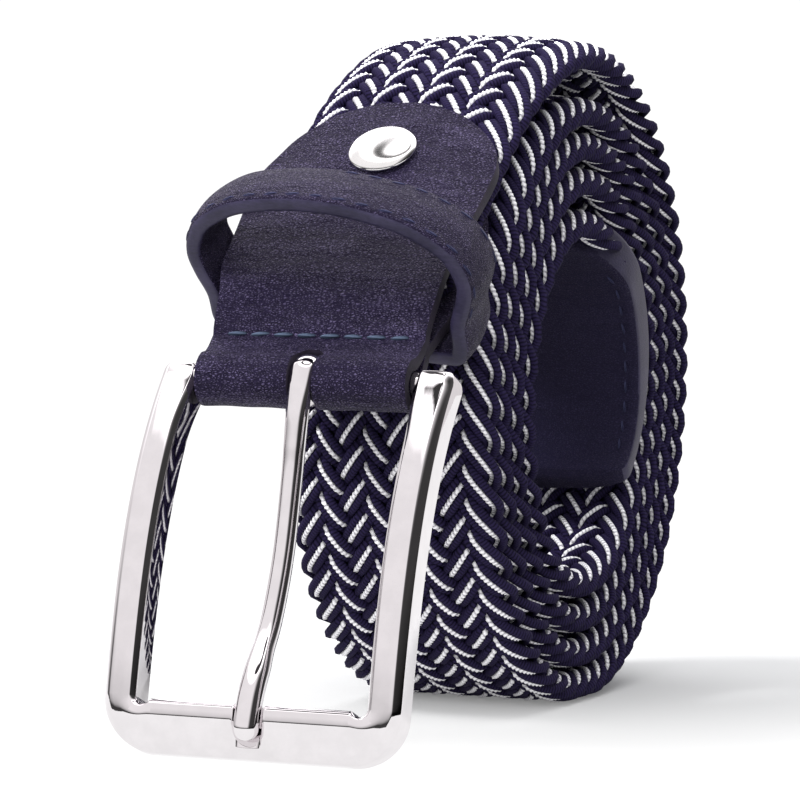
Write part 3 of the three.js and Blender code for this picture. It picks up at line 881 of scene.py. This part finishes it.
def make_rivet():
    leaf_top = BAND_THICKNESS / 2 + FIT + LEATHER
    top = leaf_top + cup_along(RIVET_PLACE) + FIT - 0.25
    bottom = -leaf_top + cup_along(RIVET_PLACE + RIVET_BACK / 2) - FIT
    half = RIVET_DIAMETER / 2
    profile = [
        (0, bottom - 0.8), (3.1, bottom - 0.65), (4.3, bottom - 0.3), (4.5, bottom), (2, bottom), (2, top),
        (half - 0.3, top), (half - 0.05, top + 0.1), (half, top + 0.35), (half * 0.97, top + 0.62),
        (half * 0.88, top + 0.97), (half * 0.75, top + 1.25), (half * 0.6, top + 1.46),
        (half * 0.4, top + 1.62), (half * 0.2, top + 1.7), (0, top + 1.72),
    ]
    bm = bmesh.new()
    verts = [bm.verts.new((radius * MM, 0, height * MM)) for radius, height in profile]
    edges = [bm.edges.new(pair) for pair in zip(verts, verts[1:])]
    bmesh.ops.spin(bm, geom=verts + edges, axis=(0, 0, 1), cent=(0, 0, 0), dvec=(0, 0, 0), angle=2 * math.pi, steps=72, use_merge=True)
    bmesh.ops.remove_doubles(bm, verts=bm.verts, dist=1e-6)
    face_outwards(bm)
    y, z = beside(RIVET_PLACE, 0)
    out = Vector((0, OUT_Y, OUT_Z))
    turned = Vector((0, 0, 1)).rotation_difference(out).to_matrix().to_4x4()
    bmesh.ops.transform(bm, matrix=Matrix.Translation(Vector((aside_at(RIVET_PLACE), y, z)) * MM) @ turned, verts=bm.verts)
    make_piece("rivet_cap", bm, [nickel], "strap", "rivet")


make_rivet()


# Buckle: in its own plane, across, down from the bar and out to the front

FRAME_WIDTH, FRAME_LENGTH, FRAME_TOP, FRAME_DEPTH = 46.6, 57.7, 2.0, 4.3
SIDE_BAR, END_BAR, FRAME_CORNER, SIDE_BACK = 5.2, 7.4, 7.6, 3.7
FRAME_BOW, FRAME_BOW_LEAN = 4.2, 0.34
RIDGE_IN, RIDGE_SLOPE = 2.6, 0.34
PRONG_REACH = 55.8
BAR_Y, BAR_Z = beside(BAR_PLACE, 0)


def bow_at(down):
    share = min(max(down / FRAME_LENGTH, 0), 1)
    return FRAME_BOW * 4 * share * (1 - share) * (1 + FRAME_BOW_LEAN * (1 - 2 * share))


def find_lean():
    low, high = 0.0, math.pi / 4
    for _ in range(40):
        lean = (low + high) / 2
        lowest = BAR_Z - FRAME_LENGTH * math.cos(lean) + 0.5 * math.sin(lean) - FRAME_DEPTH / 2 * math.sin(lean)
        low, high = (lean, high) if lowest < 0 else (low, lean)
    return low


LEAN = find_lean()


def from_buckle(across, down, out):
    y = BAR_Y - down * math.sin(LEAN) - out * math.cos(LEAN)
    z = BAR_Z - down * math.cos(LEAN) + out * math.sin(LEAN)
    return Vector((across, y, z)) * MM


def frame_section(width, back, outer_bevel):
    """The bar's section: inwards from the outer side, and out to the front."""
    front, bevel, inner_bevel = FRAME_DEPTH / 2, outer_bevel, 0.85
    points = [(0, -back + 0.6), (0, front - bevel - 0.12), (0.1, front - bevel + 0.14)]
    points += [(bevel * 0.5, front - bevel * 0.42), (bevel - 0.12, front - 0.1), (bevel + 0.16, front)]
    points += [(width - RIDGE_IN + step, front) for step in (-0.8, -0.35, 0, 0.35)]
    points += [(width - inner_bevel - 0.15, front), (width - inner_bevel + 0.12, front - 0.1)]
    points += [(width - 0.1, front - inner_bevel + 0.12), (width, front - inner_bevel - 0.15), (width, -back + 0.6)]
    points += [(width - 0.18, -back + 0.16), (width - 0.6, -back), (0.6, -back), (0.18, -back + 0.16)]
    return points


def frame_places():
    corner = FRAME_WIDTH / 2 - FRAME_CORNER
    turn_down = FRAME_LENGTH - FRAME_CORNER
    side = [("side", place - FRAME_TOP, 0) for place in (0, 0.08, 0.25, 0.6, 1.1, 1.7, 2.3)]
    side += [("side", mix(1.2, turn_down, k / 40), 0) for k in range(41)]
    bend = [("corner", 0, 90 * k / 16) for k in range(1, 16)]
    end = [("end", mix(1, 0, (k / 40)), 90) for k in range(41)]
    half = [(kind, value, angle, 1) for kind, value, angle in side + bend + end]
    return half + [(kind, value, angle, -1) for kind, value, angle, _ in reversed(half[:-1])], corner, turn_down


# The prong's middle line: over the bar from behind, then down to the tip; along the buckle and out
PRONG_WRAP = [(-3.1 * math.sin(math.radians(a)), 3.1 * math.cos(math.radians(a))) for a in (160, 130, 100, 70, 40, 12)]
PRONG_LINE = PRONG_WRAP + [
    (2.8, 2.75), (6.4, 2.2), (10.6, 1.4), (15.6, 0.5), (26.8, -0.8), (36.8, -0.2), (43.5, 1.7), (49.1, 3.0), (55.8, 3.0),
]


def prong_middle(share):
    along, rise = spline(PRONG_LINE, share)
    return Vector((0, along, rise))


def notched(across, down, out):
    """Keeps the frame clear of the prong's rounded tip."""
    radius = 2.25
    beyond = max(0, down - PRONG_REACH + 1.4)
    room = radius ** 2 - across ** 2 - (beyond * 0.8) ** 2
    if room > 0 and down > 45:
        return min(out, 3.0 - math.sqrt(room))
    return out


def back_reach(share):
    """How far the bar reaches behind the plane: 0 on the side bars, 1 on the end bar."""
    return mix(SIDE_BACK, FRAME_DEPTH / 2, share)


def make_frame():
    places, corner, turn_down = frame_places()
    rows = len(places) - 1
    count = len(frame_section(SIDE_BAR, SIDE_BACK, 1.2))

    def place(u, v):
        kind, value, angle, side = places[round(v * rows)]
        turn = math.radians(angle)
        share = smooth(angle / 90)
        width = mix(SIDE_BAR, END_BAR, share)
        if kind == "side":
            width += 0.9 * (1 - smooth((value + 2) / 12))
        section = frame_section(width, back_reach(share), 1.2)
        inward, out = section[round(u * count) % count]
        if out > 0 or inward < 0.05:
            ridge = max(0, width - RIDGE_IN - inward)
            out -= share * RIDGE_SLOPE * ridge * smooth((out + back_reach(share)) / 1.6)
        from_end = min((value + FRAME_TOP) / 2.3, 1) if kind == "side" else 1
        fullness = math.sqrt(max(0, 1 - (1 - from_end) ** 2))
        out, inward = out * mix(0.6, 1, fullness), mix(width / 2, inward, mix(0.7, 1, fullness))
        if kind == "end":
            across, down = side * value * corner, FRAME_LENGTH - inward
            out = out + bow_at(down)
            out = notched(across, down, out)
        elif kind == "corner":
            across = side * (corner + (FRAME_CORNER - inward) * math.cos(turn))
            down = turn_down + (FRAME_CORNER - inward) * math.sin(turn)
            out = out + bow_at(down)
        else:
            across, down = side * (FRAME_WIDTH / 2 - inward), value
            out = out + bow_at(down)
        return from_buckle(across, down, out)

    bm = bmesh.new()
    verts = grid(bm, count, rows, place, close_columns=True)
    close_ends(bm, verts)
    bmesh.ops.create_cone(
        bm, cap_ends=True, segments=48, radius1=2.0 * MM, radius2=2.0 * MM, depth=(FRAME_WIDTH - SIDE_BAR) * MM,
        matrix=Matrix.Translation(Vector((0, BAR_Y, BAR_Z)) * MM) @ Matrix.Rotation(math.pi / 2, 4, "Y"),
    )
    face_outwards(bm)
    piece = make_piece("buckle_metal", bm, [chrome], "buckle", "buckle_frame")
    add_modifier(piece, "BEVEL", width=0.00022, segments=2, limit_method="ANGLE", angle_limit=math.radians(70))
    add_modifier(piece, "WEIGHTED_NORMAL", keep_sharp=True)
    return piece


make_frame()


def make_prong():
    rows = 170
    sides = 32

    def place(u, v):
        share = 1 - (1 - round(v * rows) / rows) ** 1.6
        point = prong_middle(share)
        along = (prong_middle(min(share + 0.004, 1)) - prong_middle(max(share - 0.004, 0))).normalized()
        down = max(point.y, 0) / PRONG_REACH
        from_tip = PRONG_REACH - point.y
        tip = math.sqrt(max(0, 1 - (1 - min(from_tip / 1.9, 1)) ** 2))
        wide = mix(1.85, 1.6, smooth(down / 0.3)) + 0.35 * smooth((down - 0.72) / 0.1)
        high = mix(mix(1.0, 1.75, smooth((point.y + 1) / 8)), 1.9, smooth((down - 0.75) / 0.1))
        angle = 2 * math.pi * (round(u * sides) % sides) / sides
        across = wide * tip * math.cos(angle)
        up = high * tip * math.sin(angle)
        facet = smooth((down - 0.62) / 0.12) * (1 - smooth((down - 0.76) / 0.12))
        top = mix(high, 1.45, facet)
        up = min(up, top * max(tip, 0.02))
        return from_buckle(across, point.y - along.z * up, point.z + along.y * up)

    bm = bmesh.new()
    verts = grid(bm, sides, rows, place, close_columns=True)
    close_ends(bm, verts)
    hole, wall, half = 2.3, 1.5, 1.75
    section = [(hole, -half), (hole, half)]
    section += [(hole + wall * math.sin(math.pi * k / 12) ** 0.8, half * math.cos(math.pi * k / 12)) for k in range(1, 12)]
    ring = [bm.verts.new((across * MM, radius * MM, 0)) for radius, across in section]
    edges = [bm.edges.new((ring[i], ring[(i + 1) % len(ring)])) for i in range(len(ring))]
    spun = bmesh.ops.spin(bm, geom=ring + edges, axis=(1, 0, 0), cent=(0, 0, 0), dvec=(0, 0, 0), angle=2 * math.pi, steps=64, use_merge=True)
    eye = {v for item in spun["geom_last"] + ring if isinstance(item, bmesh.types.BMVert) for v in [item]}
    seen, front = set(eye), list(eye)
    while front:
        vert = front.pop()
        for edge in vert.link_edges:
            other = edge.other_vert(vert)
            if other not in seen:
                seen.add(other)
                front.append(other)
    bmesh.ops.translate(bm, verts=list(seen), vec=Vector((0, BAR_Y, BAR_Z)) * MM)
    bmesh.ops.remove_doubles(bm, verts=bm.verts, dist=1e-7)
    face_outwards(bm)
    make_piece("prong_metal", bm, [chrome], "pin", "prong")


make_prong()


# Stage: pale floor, white surroundings and soft lights


def make_floor():
    bm = bmesh.new()
    bmesh.ops.create_circle(bm, cap_ends=True, segments=96, radius=1.1)
    mesh = bpy.data.meshes.new("floor")
    bm.to_mesh(mesh)
    bm.free()
    floor = bpy.data.objects.new("floor", mesh)
    bpy.context.scene.collection.objects.link(floor)
    floor.location = (0, 0.1, -0.0002)
    finish = Finish("pale_paper", Roughness=0.9, Specular_IOR_Level=0.1)
    mottle = finish.noise(finish.place(), 6.0, 2.0)
    paper = finish.blend(mottle, (0.5, 0.5, 0.505), (0.52, 0.52, 0.522))
    away = finish.node("ShaderNodeVectorMath", {"operation": "LENGTH"}, {0: finish.place()}, 1)
    # Beyond a few centimetres from the belt the floor glows white on its own: painted light that washes out the belt's
    # cast shadow there; close to the belt it shows the real shading.
    glow = step_up(away, 0.04, 0.18)
    finish.feed("Base Color", finish.blend(glow, paper, (0.02, 0.02, 0.02)))
    finish.feed("Emission Color", finish.blend(glow, (0, 0, 0), (1, 1, 1)))
    finish.shader.inputs["Emission Strength"].default_value = 1.0
    mesh.materials.append(finish.material)


make_floor()


# What polished metal reflects, by the height of the direction: a soft box with a dark gap over it
SKY = (
    (-1.0, 0.95), (-0.1, 0.85), (-0.05, 0.06), (0.07, 0.05), (0.13, 0.5), (0.26, 0.97), (0.78, 1.0), (0.86, 2.2),
    (0.905, 2.2), (0.92, 0.05), (0.952, 0.05), (0.97, 2.2), (1.0, 2.5),
)


def make_world():
    world = bpy.data.worlds.new("studio")
    bpy.context.scene.world = world
    world.use_nodes = True
    nodes, links = world.node_tree.nodes, world.node_tree.links
    nodes.clear()
    output = nodes.new("ShaderNodeOutputWorld")
    chooser = nodes.new("ShaderNodeMixShader")
    seen = nodes.new("ShaderNodeBackground")
    lit = nodes.new("ShaderNodeBackground")
    path = nodes.new("ShaderNodeLightPath")
    seen.inputs["Color"].default_value = (1, 1, 1, 1)
    seen.inputs["Strength"].default_value = 1.05
    coordinates = nodes.new("ShaderNodeTexCoord")
    split = nodes.new("ShaderNodeSeparateXYZ")
    links.new(coordinates.outputs["Generated"], split.inputs[0])
    rise = nodes.new("ShaderNodeMapRange")
    rise.inputs["From Min"].default_value = -1.0
    links.new(split.outputs["Z"], rise.inputs["Value"])
    ramp = nodes.new("ShaderNodeValToRGB")
    elements = ramp.color_ramp.elements
    while len(elements) < len(SKY):
        elements.new(0.5)
    for element, (height, level) in zip(elements, SKY):
        element.position, element.color = (height + 1) / 2, (level, level * 0.975, level * 0.985, 1)
    links.new(rise.outputs[0], ramp.inputs[0])
    shade = nodes.new("ShaderNodeMapRange")
    shade.interpolation_type = "SMOOTHSTEP"
    for key, value in {"From Min": 0.5, "From Max": 0.78, "To Min": 1.0, "To Max": 0.05}.items():
        shade.inputs[key].default_value = value
    links.new(split.outputs["X"], shade.inputs["Value"])
    shaded = nodes.new("ShaderNodeMath")
    shaded.operation = "MULTIPLY"
    shaded.inputs[1].default_value = 1.0
    links.new(shade.outputs[0], shaded.inputs[0])
    links.new(shaded.outputs[0], lit.inputs["Strength"])
    behind = nodes.new("ShaderNodeMapRange")
    behind.interpolation_type = "SMOOTHSTEP"
    behind.inputs["From Max"].default_value = 0.5
    links.new(split.outputs["Y"], behind.inputs["Value"])
    backdrop = nodes.new("ShaderNodeMix")
    backdrop.data_type = "RGBA"
    above = nodes.new("ShaderNodeMapRange")
    above.interpolation_type = "SMOOTHSTEP"
    for key, value in {"From Min": 0.15, "From Max": 0.5}.items():
        above.inputs[key].default_value = value
    links.new(split.outputs["Z"], above.inputs["Value"])
    far = nodes.new("ShaderNodeMix")
    far.data_type = "RGBA"
    far.inputs[6].default_value, far.inputs[7].default_value = (0.82, 0.79, 0.8, 1), (2.1, 2.05, 2.1, 1)
    links.new(above.outputs[0], far.inputs[0])
    links.new(far.outputs[2], backdrop.inputs[7])
    links.new(behind.outputs[0], backdrop.inputs[0])
    links.new(ramp.outputs[0], backdrop.inputs[6])
    links.new(backdrop.outputs[2], lit.inputs["Color"])
    soft = nodes.new("ShaderNodeBackground")
    soft.inputs["Color"].default_value = (0.97, 0.98, 1.0, 1)
    soft.inputs["Strength"].default_value = 0.8
    glossy = nodes.new("ShaderNodeMixShader")
    links.new(path.outputs["Is Glossy Ray"], glossy.inputs[0])
    links.new(soft.outputs[0], glossy.inputs[1])
    links.new(lit.outputs[0], glossy.inputs[2])
    links.new(path.outputs["Is Camera Ray"], chooser.inputs[0])
    links.new(glossy.outputs[0], chooser.inputs[1])
    links.new(seen.outputs[0], chooser.inputs[2])
    links.new(chooser.outputs[0], output.inputs[0])


make_world()


def add_light(name, place, target, size, power, color=(1, 1, 1)):
    data = bpy.data.lights.new(name, "AREA")
    data.shape = "RECTANGLE"
    data.size, data.size_y = size
    data.energy, data.color = power, color
    light = bpy.data.objects.new(name, data)
    light.location = place
    light.rotation_euler = (Vector(target) - Vector(place)).to_track_quat("-Z", "Y").to_euler()
    light.visible_glossy = False
    bpy.context.scene.collection.objects.link(light)


add_light("key", (-0.62, -0.5, 1.0), (0, 0, 0.05), (0.35, 0.35), 18)
add_light("top", (0.0, 0.25, 1.2), (0, 0.05, 0.05), (1.0, 1.0), 13)
add_light("front_fill", (0.3, -1.3, 0.5), (0, -0.02, 0.05), (0.8, 0.5), 10)


def make_camera():
    data = bpy.data.cameras.new("camera")
    data.lens, data.sensor_width = CAMERA_LENS, 36
    data.clip_start, data.clip_end = 0.01, 10
    camera = bpy.data.objects.new("camera", data)
    bpy.context.scene.collection.objects.link(camera)
    right = CAMERA_RIGHT.normalized()
    back = right.cross(CAMERA_UP).normalized()
    up = back.cross(right)
    camera.matrix_world = Matrix.Translation(CAMERA_PLACE) @ Matrix((right, up, back)).transposed().to_4x4()
    bpy.context.scene.camera = camera


make_camera()
bpy.context.scene.view_settings.view_transform = "Standard"
